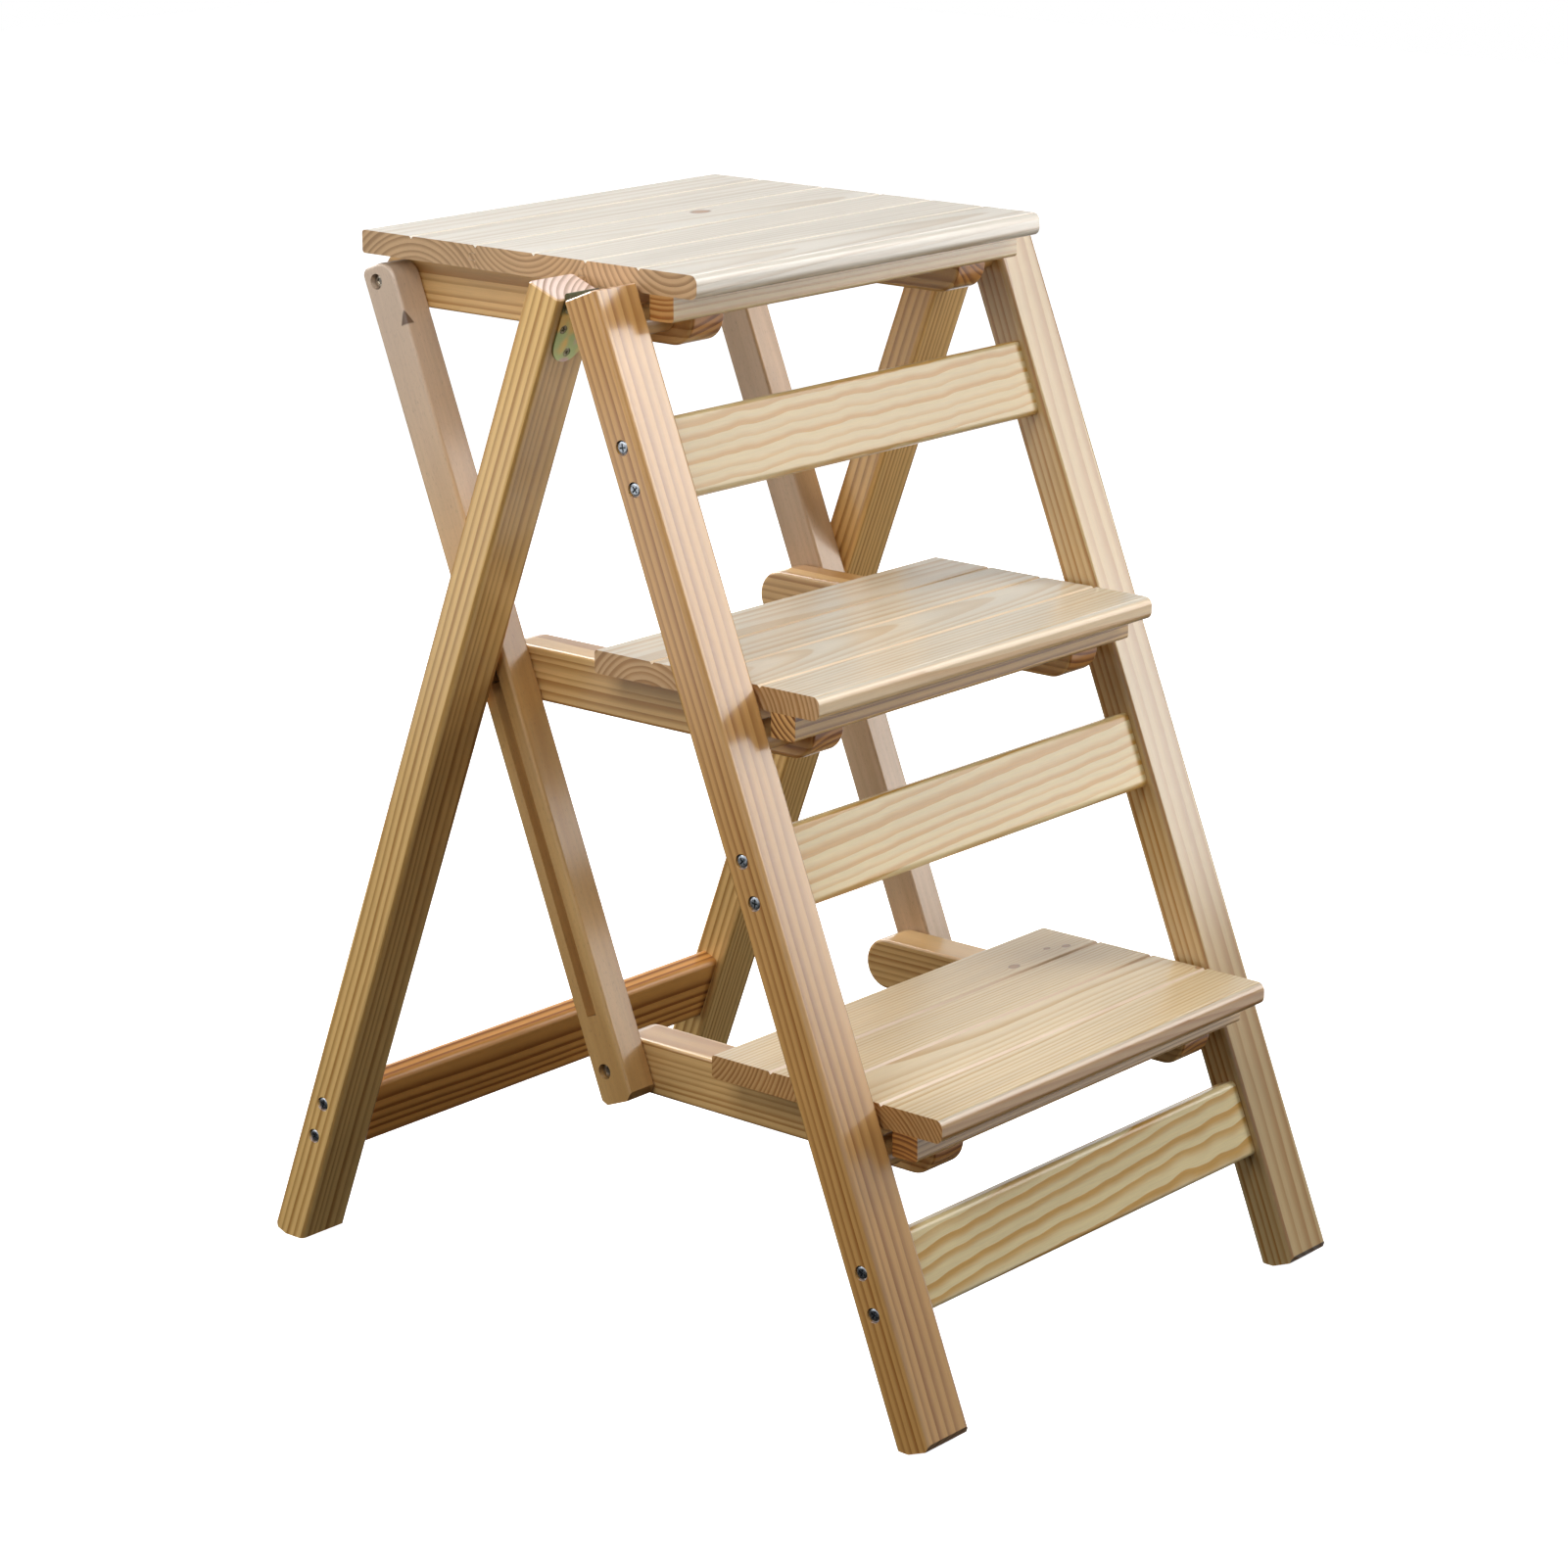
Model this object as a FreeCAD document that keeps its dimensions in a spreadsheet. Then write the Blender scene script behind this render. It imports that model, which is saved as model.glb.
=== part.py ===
import FreeCAD, Part
import Sketcher
import os
import re

# Folding step stool chair in pine: two leg frames hinged at the top, three slatted steps that turn
# on pins in the front legs, and a pair of link bars that lift the backs of all three steps together.
# Millimetres. +Z is up, the steps face -Y, and the origin is on the floor under the middle.

SIZES = {
    # whole frame
    "overall_height": 640, "frame_width": 397.5, "stance_depth": 534.8,
    # legs: a face width across the stool, and a depth seen from the side
    "leg_width": 37, "leg_depth": 25, "leg_rounding": 3, "end_bevel": 0.8,
    "front_foot": 9, "rear_foot": 15, "foot_bevel": 3.5,
    "front_lean": 68.5, "rear_lean": 69.6, "front_leg_length": 680, "rear_leg_length": 675,
    # cross rails, each given by the distance of its lower edge from the foot along the leg
    "rail_width": 47.5, "rail_thickness": 15, "rail_setback": 5, "rail_rounding": 3.5,
    "lower_rail": 77, "middle_rail": 314.5, "upper_rail": 555, "rear_rail": 67,
    # the middle of each pair of rail screws, measured the same way
    "lower_screws": 99, "middle_screws": 338, "upper_screws": 579, "rear_screws": 94,
    # steps: tongued boards on two bearers, with a batten under the front edge
    "board_thickness": 14, "panel_width": 316.8, "step_spacing": 245.5, "front_overhang": 46,
    "front_board": 85, "middle_board": 88, "short_board": 86, "rear_board": 94.5,
    "front_groove": 44, "middle_groove": 41, "rear_groove": 53,
    "groove_half": 1.6, "groove_deep": 1.6, "tongue_thick": 4, "tongue_long": 5, "tongue_play": 0.15,
    "nose_rounding": 5, "board_rounding": 2,
    "bearer_height": 33, "bearer_thickness": 28, "bearer_inner": 107.5, "bearer_nose": 22.5,
    "bearer_rounding": 2, "pivot_to_pin": 210.5,
    "batten_depth": 18, "batten_height": 15, "batten_front": 28.5, "batten_rounding": 2.5,
    # link bars: measured across from the line of their pins
    "link_thickness": 22, "link_gap": 0.8, "link_back": 10, "link_front": 16, "link_head": 10,
    "link_tail": 20, "link_nose": 12, "link_heel": 5, "link_bevel": 4.5, "link_rounding": 2,
    # guide slot on the outer face of a link bar, and the stud that runs along it
    "slot_line": 2.7, "slot_width": 7.5, "slot_deep": 8, "slot_top": 229, "slot_bottom": 457,
    "stud_radius": 3.5, "stud_along": 423, "stud_seat": 20, "stud_clear": 0.3,
    # pins, bolts and screws
    "pivot_radius": 4, "pivot_seat": 25, "bore_depth": 22.5, "running_play": 0.05, "end_play": 0.4,
    "spacer_radius": 9, "spacer_gap": 0.3,
    "bolt_radius": 3, "bolt_head": 4.5, "bolt_head_high": 3, "bolt_sink": 6, "bolt_head_play": 0.25,
    "bolt_edge": 0.4, "bolt_socket": 1.8, "bolt_below_slot": 0.5,
    "screw_radius": 2, "screw_head": 4.2, "screw_head_high": 2.4, "screw_sink": 3, "screw_long": 62,
    "head_play": 0.3, "head_face_share": 0.72, "head_rim_share": 0.4, "point_share": 0.15,
    "screw_pitch": 24.5, "bolt_drive": 2.4, "drive_width": 0.9, "drive_length": 4.6, "drive_share": 0.6,
    "board_screw_long": 36, "board_screw_sink": 8,
    "front_fixing": 20, "middle_fixing": 83, "rear_fixing": 175,
    # butt hinges between the tops of the legs
    "leaf_width": 25, "leaf_long": 43, "leaf_thick": 1, "leaf_offset": 1.15, "leaf_short": 1.5,
    "leaf_corner": 12.4, "knuckle_radius": 2.2,
    "hinge_pin_radius": 1.2, "knuckle_gap": 0.1, "knuckle_notch": 2.7,
    "hinge_screw_radius": 1.5, "hinge_screw_head": 2.8, "hinge_screw_head_high": 0.9,
    "hinge_screw_long": 8, "hinge_screw_side": 8, "hinge_screw_low": 37, "hinge_screw_mid": 21.5,
    "hinge_screw_high": 8.5, "hinge_drive_length": 3,
}

# Limits for telling lengths in millimetres, and directions, apart
NEAR = 0.01
ALIKE = 0.999

doc = FreeCAD.newDocument("folding_step_stool")
sizes = doc.addObject("Spreadsheet::Sheet", "Sizes")
for row, (alias, number) in enumerate(SIZES.items(), start=1):
    sizes.set("A%d" % row, alias.replace("_", " "))
    sizes.set("B%d" % row, str(number))
    sizes.setAlias("B%d" % row, alias)
doc.recompute()


def formula(text):
    """A formula in the sheet's words, spelled out with the sheet's name for the document."""
    return re.sub(r"[a-z_]+", lambda word: "Sizes." + word[0] if word[0] in SIZES else word[0], text)


def value(text):
    return float(sizes.evalExpression(formula(text)))


def bind(thing, **properties):
    for name, text in properties.items():
        thing.setExpression(name, formula(text))


def at(x="0", y="0", z="0", axis="1; 0; 0", angle="0"):
    """The text of a placement."""
    return formula(f"placement(vector({x}; {y}; {z}); rotation(vector({axis}); {angle}))")


# Derived places, as formulas of the sizes
HALF_WIDTH = "(frame_width / 2)"
LEG_INNER = "(frame_width / 2 - leg_width)"
LEG_MIDDLE = "(frame_width / 2 - leg_width / 2)"
MID_DEPTH = "(leg_depth / 2)"
BEARER_OUTER = "(bearer_inner + bearer_thickness)"
LINK_OUTER = "(bearer_inner + bearer_thickness + link_gap + link_thickness)"
HALF_BEARER = "(bearer_height / 2)"

# The top step's pivots are on the middle line of the front legs, half a bearer under its boards
TOP_PIVOT_Z = "(overall_height - board_thickness - bearer_height / 2)"
TOP_PIVOT_ALONG = f"(({TOP_PIVOT_Z} + {MID_DEPTH} * cos(front_lean)) / sin(front_lean))"
TOP_PIVOT_Y = (f"({TOP_PIVOT_ALONG} * cos(front_lean) + {MID_DEPTH} * sin(front_lean)"
               " - stance_depth / 2)")
LEVELS = {"top": 0, "middle": 1, "bottom": 2}

# The facing sides of the legs would meet at this height; the hinge pins sit just below, between them
APEX_Z = ("((stance_depth - leg_depth / sin(front_lean) - leg_depth / sin(rear_lean))"
          " / (1 / tan(front_lean) + 1 / tan(rear_lean)))")
APEX_DROP = "(leaf_offset / tan(90 - (front_lean + rear_lean) / 2))"
FRONT_HINGE = f"(({APEX_Z} + leg_depth * cos(front_lean)) / sin(front_lean) - {APEX_DROP})"
REAR_HINGE = f"(({APEX_Z} + leg_depth * cos(rear_lean)) / sin(rear_lean) - {APEX_DROP})"

# Frames that the pieces are drawn in: local Z runs up the leg or bar, local Y goes through its depth
FRONT_FRAME = at(y="-stance_depth / 2", angle="front_lean - 90")
REAR_FRAME = at(y="stance_depth / 2", angle="90 - rear_lean")


def pivot_y(level):
    return f"({TOP_PIVOT_Y} - {LEVELS[level]} * step_spacing * cos(front_lean))"


def pivot_z(level):
    return f"({TOP_PIVOT_Z} - {LEVELS[level]} * step_spacing * sin(front_lean))"


def step_frame(level):
    return at(y=pivot_y(level), z=pivot_z(level))


LINK_FRAME = at(y=f"{pivot_y('top')} + pivot_to_pin", z=pivot_z("top"), angle="front_lean - 90")


def new_body(label, place):
    body = doc.addObject("PartDesign::Body", label)
    body.Label = label
    body.setExpression("Placement", place)
    return body


def new_sketch(body, plane="YZ_Plane", offset="0"):
    """A sketch on one of the body's own origin planes, moved along the plane's normal by offset."""
    sketch = body.newObject("Sketcher::SketchObject", body.Name + "_outline")
    support = next(part for part in body.Origin.OriginFeatures if part.Role == plane)
    sketch.AttachmentSupport = [(support, "")]
    sketch.MapMode = "FlatFace"
    sketch.setExpression(".AttachmentOffset.Base.z", formula(offset))
    return sketch


def hold(sketch, kind, *ends, size=None):
    """One constraint, tied to a formula where it has a size."""
    if size is None:
        return sketch.addConstraint(Sketcher.Constraint(kind, *ends))
    index = sketch.addConstraint(Sketcher.Constraint(kind, *ends, value(size)))
    sketch.setExpression(f"Constraints[{index}]", formula(size))
    return index


def hold_point(sketch, geometry, end, across, up):
    hold(sketch, "DistanceX", -1, 1, geometry, end, size=across)
    hold(sketch, "DistanceY", -1, 1, geometry, end, size=up)


def polygon(sketch, corners):
    """A closed outline of straight lines; each corner is a pair of formulas."""
    first = sketch.GeometryCount
    points = [FreeCAD.Vector(value(across), value(up), 0) for across, up in corners]
    count = len(points)
    for index, point in enumerate(points):
        sketch.addGeometry(Part.LineSegment(point, points[(index + 1) % count]))
    for index, (across, up) in enumerate(corners):
        hold(sketch, "Coincident", first + index, 2, first + (index + 1) % count, 1)
        hold_point(sketch, first + index, 1, across, up)
    return sketch


def rectangle(sketch, left, low, right, high):
    return polygon(sketch, [(left, low), (right, low), (right, high), (left, high)])


def circles(sketch, centres, radius):
    for across, up in centres:
        middle = FreeCAD.Vector(value(across), value(up), 0)
        index = sketch.addGeometry(Part.Circle(middle, FreeCAD.Vector(0, 0, 1), value(radius)))
        hold(sketch, "Radius", index, size=radius)
        hold_point(sketch, index, 3, across, up)
    return sketch


def pad(body, sketch, length, both_sides=False, backwards=False):
    feature = body.newObject("PartDesign::Pad", body.Name + "_pad")
    feature.Profile = sketch
    feature.Midplane = both_sides
    feature.Reversed = backwards
    bind(feature, Length=length)
    doc.recompute()
    return feature


def pocket(body, sketch, depth, forwards=True):
    """Cuts along the sketch's normal, or against it, and makes sure that something was cut."""
    before = body.Tip.Shape.Volume
    feature = body.newObject("PartDesign::Pocket", body.Name + "_pocket")
    feature.Profile = sketch
    feature.Reversed = forwards
    bind(feature, Length=depth)
    doc.recompute()
    if body.Tip.Shape.Volume > before - NEAR:
        raise ValueError(f"{feature.Label} cuts nothing")
    return feature


def soften(body, size, names, kind="Fillet"):
    """Rounds or bevels the named edges or faces of the body as it is now."""
    base = body.Tip
    feature = body.newObject("PartDesign::" + kind, body.Name + "_" + kind.lower())
    feature.Base = (base, names)
    bind(feature, **{"Radius" if kind == "Fillet" else "Size": size})
    doc.recompute()
    return feature


AXES = {"x": FreeCAD.Vector(1, 0, 0), "y": FreeCAD.Vector(0, 1, 0), "z": FreeCAD.Vector(0, 0, 1)}


def edges_along(body, axis, corners=None):
    """Names of the straight edges parallel to axis.

    For edges along X, corners may list the (y, z) formulas of the only ones wanted."""
    names = []
    for index, edge in enumerate(body.Tip.Shape.Edges, start=1):
        if edge.Curve.TypeId != "Part::GeomLine" or abs(edge.Curve.Direction.dot(AXES[axis])) < ALIKE:
            continue
        start = edge.Vertexes[0].Point
        if corners is None or any(abs(start.y - value(a)) + abs(start.z - value(b)) < NEAR
                                  for a, b in corners):
            names.append(f"Edge{index}")
    return names


def top_faces(body):
    """Names of the flat faces that look up along local Z."""
    return [f"Face{index}" for index, face in enumerate(body.Tip.Shape.Faces, start=1)
            if face.Surface.TypeId == "Part::GeomPlane" and face.normalAt(0, 0).z > ALIKE]


def bores(body, plane_at, centres, radius, depth, forwards=True):
    """Round holes square to the side planes of the stool, from the plane x = plane_at."""
    sketch = circles(new_sketch(body, offset=plane_at), centres, radius)
    return pocket(body, sketch, depth, forwards)


def mirrored(source, label):
    """The right-hand twin of a left-hand piece."""
    twin = doc.addObject("Part::Mirroring", label)
    twin.Label = label
    twin.Source = source
    twin.Normal = FreeCAD.Vector(1, 0, 0)
    return twin


def group(label, source, places):
    """One node of identical pieces, with a copy of the source at each place."""
    copies = []
    for index, place in enumerate(places, start=1):
        copy = doc.addObject("App::Link", f"{label}_{index}")
        copy.LinkedObject = source
        copy.LinkTransform = False
        copy.setExpression("Placement", place)
        copies.append(copy)
    compound = doc.addObject("Part::Compound", label)
    compound.Label = label
    compound.Links = copies
    return compound


def both_sides(frame, x, spots):
    """Places at x on the left and right of a frame, where the right-hand ones are turned round."""
    places = []
    for y, z in spots:
        places.append(f"{frame} * " + at(x=f"-{x}", y=y, z=z))
        places.append(f"{frame} * " + at(x=x, y=y, z=z, axis="0; 0; 1", angle="180"))
    return places


nodes = {}


def keep(thing):
    nodes[thing.Label] = thing
    return thing


# Screws, bolts and pins, drawn once along +X with the head's face at the origin

def turned(label, outline):
    """A turned piece about the X axis from its half outline."""
    body = new_body(label, at())
    sketch = polygon(new_sketch(body, "XY_Plane"), outline)
    feature = body.newObject("PartDesign::Revolution", label + "_turned")
    feature.Profile = sketch
    feature.ReferenceAxis = (sketch, ["H_Axis"])
    feature.Angle = 360
    doc.recompute()
    return body


def screw(label, radius, head, head_high, long, drive):
    """A round-headed wood screw with a crosswise drive and a pointed end."""
    body = turned(label, [("0", "0"), ("0", f"{head} * head_face_share"),
                          (f"{head_high} * head_rim_share", head), (head_high, head), (head_high, radius),
                          (f"{long} - {radius} * 2", radius), (long, f"{radius} * point_share"),
                          (long, "0")])
    for wide, high in ((drive, "drive_width"), ("drive_width", drive)):
        cross = rectangle(new_sketch(body), f"-{wide} / 2", f"-{high} / 2", f"{wide} / 2", f"{high} / 2")
        pocket(body, cross, f"{head_high} * drive_share")
    return body


def socket_bolt(label, long):
    """A flat-headed bolt with a round socket, its head inside a counterbore."""
    body = turned(label, [("0", "0"), ("0", "bolt_head - bolt_edge"), ("bolt_edge", "bolt_head"),
                          ("bolt_head_high", "bolt_head"), ("bolt_head_high", "bolt_radius"),
                          (f"{long} - bolt_edge", "bolt_radius"), (long, "bolt_radius - bolt_edge"),
                          (long, "0")])
    pocket(body, circles(new_sketch(body), [("0", "0")], "bolt_drive"), "bolt_socket")
    return body


def plain_pin(label, radius, long):
    pin = doc.addObject("Part::Cylinder", label)
    bind(pin, Radius=radius, Height=long)
    return pin


frame_screw = screw("frame_screw", "screw_radius", "screw_head", "screw_head_high", "screw_long",
                    "drive_length")
board_screw = screw("board_screw", "screw_radius", "screw_head", "screw_head_high",
                    "board_screw_long", "drive_length")
hinge_screw = screw("hinge_screw", "hinge_screw_radius", "hinge_screw_head",
                    "hinge_screw_head_high", "hinge_screw_long", "hinge_drive_length")


# Legs

def leg_outline(lean, length, flat, sign):
    """Side view of a leg cut square, with a flat where its lower corner stands on the floor.

    The corner that stays clear of the floor is bevelled."""
    square_end = f"leg_depth / tan({lean}) - {flat} * cos({lean})"
    return [("0", f"{square_end} + foot_bevel"), (f"{sign}foot_bevel", square_end),
            (f"{sign}(leg_depth - {flat} * sin({lean}))", square_end),
            (f"{sign}leg_depth", f"leg_depth / tan({lean})"), (f"{sign}leg_depth", length), ("0", length)]


def leg(label, frame, lean, length, flat, sign):
    body = new_body(label, frame)
    outline = polygon(new_sketch(body, offset=f"-{HALF_WIDTH}"), leg_outline(lean, length, flat, sign))
    pad(body, outline, "leg_width")
    soften(body, "leg_rounding", edges_along(body, "z"))
    soften(body, "end_bevel", top_faces(body), "Chamfer")
    return body


def rail_screws(*rails):
    """Distances along the leg of the two screws in the end of each rail."""
    return [f"({rail}_screws {sign} screw_pitch / 2)" for rail in rails for sign in "-+"]


def screw_holes(body, spots):
    bores(body, f"-{HALF_WIDTH}", spots, "screw_head + head_play", "screw_sink")
    bores(body, f"-{HALF_WIDTH}", spots, "screw_radius", "leg_width + 1")


def pivot_along(level):
    return f"({TOP_PIVOT_ALONG} - {LEVELS[level]} * step_spacing)"


HINGE_SCREWS = [("0", "hinge_screw_low")] + [
    (f"{sign}hinge_screw_side", drop) for drop in ("hinge_screw_mid", "hinge_screw_high") for sign in "-+"]


def hinge_pilots(body, hinge, sign):
    """Pilot holes for the hinge screws in the side of a leg that faces the other leg."""
    face = new_sketch(body, "XZ_Plane", offset="-leg_depth" if sign == "" else "leg_depth")
    spots = [(f"{across} - {LEG_MIDDLE}", f"{hinge} - {drop}") for across, drop in HINGE_SCREWS]
    pocket(body, circles(face, spots, "hinge_screw_radius"), "hinge_screw_long", forwards=sign == "")


front_leg = leg("front_leg_left", FRONT_FRAME, "front_lean", "front_leg_length", "front_foot", "")
front_spots = [(MID_DEPTH, along) for along in rail_screws("lower", "middle", "upper")]
screw_holes(front_leg, front_spots)
bores(front_leg, f"-{LEG_INNER}", [(MID_DEPTH, pivot_along(level)) for level in LEVELS],
      "pivot_radius", "pivot_seat", forwards=False)
hinge_pilots(front_leg, FRONT_HINGE, "")
keep(front_leg)
keep(mirrored(front_leg, "front_leg_right"))

rear_leg = leg("rear_leg_left", REAR_FRAME, "rear_lean", "rear_leg_length", "rear_foot", "-")
rear_spots = [(f"-{MID_DEPTH}", along) for along in rail_screws("rear")]
screw_holes(rear_leg, rear_spots)
bores(rear_leg, f"-{LEG_INNER}", [(f"-{MID_DEPTH}", "stud_along")], "stud_radius", "stud_seat",
      forwards=False)
hinge_pilots(rear_leg, REAR_HINGE, "-")
keep(rear_leg)
keep(mirrored(rear_leg, "rear_leg_right"))


# Rails between the legs, set back from the outer faces

def rail(label, frame, name, near, far):
    """A cross rail between the depths near and far, with pilot holes for two screws in each end."""
    body = new_body(label, frame)
    outline = rectangle(new_sketch(body), near, f"{name}_rail", far, f"{name}_rail + rail_width")
    pad(body, outline, f"2 * {LEG_INNER}", both_sides=True)
    soften(body, "rail_rounding", edges_along(body, "x"))
    spots = [(f"({near} + {far}) / 2", spot) for spot in rail_screws(name)]
    for side, forwards in (("-", True), ("", False)):
        bores(body, f"{side}{LEG_INNER}", spots, "screw_radius",
              "screw_long + screw_sink - screw_head_high - leg_width", forwards)
    return keep(body)


RAIL_FAR = "(rail_setback + rail_thickness)"
for name in ("lower", "middle", "upper"):
    rail(f"front_rail_{name}", FRONT_FRAME, name, "rail_setback", RAIL_FAR)
rail("rear_rail", REAR_FRAME, "rear", "-(leg_depth - rail_setback - rail_thickness)",
     "-(leg_depth - rail_setback)")

SCREW_FACE = f"({HALF_WIDTH} - screw_sink + screw_head_high)"
keep(group("front_frame_screws", frame_screw, both_sides(FRONT_FRAME, SCREW_FACE, front_spots)))
keep(group("rear_frame_screws", frame_screw, both_sides(REAR_FRAME, SCREW_FACE, rear_spots)))


# Pins that the steps turn on, pressed into the front legs, with a wooden sleeve round each one

LEVEL_PIVOTS = [("0", "0")]
pivot_pin = plain_pin("pivot_pin", "pivot_radius",
                      f"{LEG_INNER} + pivot_seat - {BEARER_OUTER} + bore_depth - end_play")
sleeve = new_body("sleeve", at())
pad(sleeve, circles(new_sketch(sleeve), LEVEL_PIVOTS, "spacer_radius"),
    f"{LEG_INNER} - {BEARER_OUTER} - 2 * spacer_gap")
pocket(sleeve, circles(new_sketch(sleeve), LEVEL_PIVOTS, "pivot_radius + running_play"), "frame_width")


def at_pivots(x, turn):
    """Places at every step pivot, left and right, for a piece whose left end is at -x."""
    places = []
    for level in LEVELS:
        for side, angle in (("-", "0"), ("", "180")):
            spin = f" * {at(axis='0; 0; 1', angle=angle)}{turn}"
            places.append(at(x=f"{side}{x}", y=pivot_y(level), z=pivot_z(level)) + spin)
    return places


ALONG_X = " * " + at(axis="0; 1; 0", angle="90")
keep(group("step_pivot_pins", pivot_pin, at_pivots(f"({LEG_INNER} + pivot_seat)", ALONG_X)))
keep(group("pivot_sleeves", sleeve, at_pivots(f"({LEG_INNER} - spacer_gap)", "")))

# Studs of the rear legs that follow the slots of the link bars
stud = plain_pin("stud", "stud_radius", f"stud_seat + {LEG_INNER} - {LINK_OUTER} - stud_clear")
STUD_PLACE = dict(y=f"-{MID_DEPTH}", z="stud_along")
keep(group("guide_studs", stud, [
    f"{REAR_FRAME} * " + at(x=f"-({LEG_INNER} + stud_seat)", **STUD_PLACE) + ALONG_X,
    f"{REAR_FRAME} * " + at(x=f"{LINK_OUTER} + stud_clear", **STUD_PLACE) + ALONG_X]))


# Butt hinges: a leaf is flat on each leg and their knuckles share one pin

KNUCKLES = 5


def lower_corners(body, foot):
    """Names of the short edges through the thickness of a leaf at its lower corners."""
    names = []
    for index, edge in enumerate(body.Tip.Shape.Edges, start=1):
        ends = [vertex.Point for vertex in edge.Vertexes]
        if all(abs(end.z - value(foot)) < NEAR for end in ends) and abs(ends[0].x - ends[1].x) < NEAR:
            names.append(f"Edge{index}")
    return names


def hinge_leaf(label, frame, hinge, sign, own):
    """A leaf with a rounded foot; own lists its knuckles, counted from the outer side of the leg."""
    body = new_body(label, frame)
    face = "-leg_depth" if sign == "" else "leg_depth"
    outer = f"(-{LEG_MIDDLE} - leaf_width / 2)"
    inner = f"(-{LEG_MIDDLE} + leaf_width / 2)"
    foot = f"({hinge} - leaf_long)"
    plate = rectangle(new_sketch(body, "XZ_Plane", face), outer, foot, inner, f"{hinge} - leaf_short")
    pad(body, plate, "leaf_thick", backwards=sign == "")
    soften(body, "leaf_corner", lower_corners(body, foot))
    axis = (f"{sign}(leg_depth + leaf_offset)", hinge)
    pad(body, circles(new_sketch(body, offset=outer), [axis], "knuckle_radius"), "leaf_width")
    for place in range(KNUCKLES):
        if place not in own:
            left = f"{outer} + leaf_width * {place} / {KNUCKLES} - knuckle_gap"
            right = f"{outer} + leaf_width * {place + 1} / {KNUCKLES} + knuckle_gap"
            notch = rectangle(new_sketch(body, "XZ_Plane"), left, f"{hinge} - knuckle_notch",
                              right, f"{hinge} + knuckle_notch")
            pocket(body, notch, "2 * leg_depth", forwards=sign != "")
    bores(body, outer, [axis], "hinge_pin_radius", "leaf_width")
    holes = [(f"{across} - {LEG_MIDDLE}", f"{hinge} - {drop}") for across, drop in HINGE_SCREWS]
    pocket(body, circles(new_sketch(body, "XZ_Plane", face), holes, "hinge_screw_head"),
           "leaf_thick", forwards=sign != "")
    return body


leaf_front = keep(hinge_leaf("hinge_leaf_front_left", FRONT_FRAME, FRONT_HINGE, "", (0, 2, 4)))
keep(mirrored(leaf_front, "hinge_leaf_front_right"))
leaf_rear = keep(hinge_leaf("hinge_leaf_rear_left", REAR_FRAME, REAR_HINGE, "-", (1, 3)))
keep(mirrored(leaf_rear, "hinge_leaf_rear_right"))

hinge_pin = plain_pin("hinge_pin", "hinge_pin_radius", "leaf_width")
hinge_spot = dict(y="leg_depth + leaf_offset", z=FRONT_HINGE)
keep(group("hinge_pins", hinge_pin, [
    f"{FRONT_FRAME} * " + at(x=f"{side}{LEG_MIDDLE} - leaf_width / 2", **hinge_spot) + ALONG_X
    for side in ("-", "")]))


def hinge_screw_places(frame, hinge, sign):
    """Screws driven through the leaves into the legs, with their heads level with the leaf."""
    face = f"{sign}(leg_depth + hinge_screw_head_high)"
    turn = at(axis="0; 0; 1", angle="-90" if sign == "" else "90")
    spots = [(f"{side}{LEG_MIDDLE} + {across}", f"{hinge} - {drop}")
             for side in ("-", "") for across, drop in HINGE_SCREWS]
    return [f"{frame} * " + at(x=across, y=face, z=up) + f" * {turn}" for across, up in spots]


keep(group("hinge_screws_front", hinge_screw, hinge_screw_places(FRONT_FRAME, FRONT_HINGE, "")))
keep(group("hinge_screws_rear", hinge_screw, hinge_screw_places(REAR_FRAME, REAR_HINGE, "-")))


# Steps, drawn about the pivot in the front legs

BOARD_LOW = HALF_BEARER
BOARD_HIGH = f"({HALF_BEARER} + board_thickness)"
FIRST_JOINT = "(front_board - front_overhang)"
SECOND_JOINT = f"({FIRST_JOINT} + middle_board)"


def board_outline(front, back, groove, tongue, slot):
    """End view of a board: a V along the top, half a V at each joint, a tongue behind, a slot in front."""
    middle = f"(({BOARD_LOW} + {BOARD_HIGH}) / 2)"
    valley = f"({BOARD_HIGH} - groove_deep)"
    points = [(front, BOARD_LOW)]
    if slot:
        inside = f"{front} + tongue_long + tongue_play"
        ceiling = f"{middle} + tongue_thick / 2 + tongue_play"
        floor = f"{middle} - tongue_thick / 2 - tongue_play"
        points[0:0] = [(front, valley), (front, ceiling), (inside, ceiling), (inside, floor), (front, floor)]
    points.append((back, BOARD_LOW))
    if tongue:
        points += [(back, f"{middle} - tongue_thick / 2"),
                   (f"{back} + tongue_long", f"{middle} - tongue_thick / 2"),
                   (f"{back} + tongue_long", f"{middle} + tongue_thick / 2"),
                   (back, f"{middle} + tongue_thick / 2"), (back, valley),
                   (f"{back} - groove_half", BOARD_HIGH)]
    else:
        points.append((back, BOARD_HIGH))
    points += [(f"{groove} + groove_half", BOARD_HIGH), (groove, valley),
               (f"{groove} - groove_half", BOARD_HIGH)]
    points.append((f"{front} + groove_half", BOARD_HIGH) if slot else (front, BOARD_HIGH))
    return points


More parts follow.
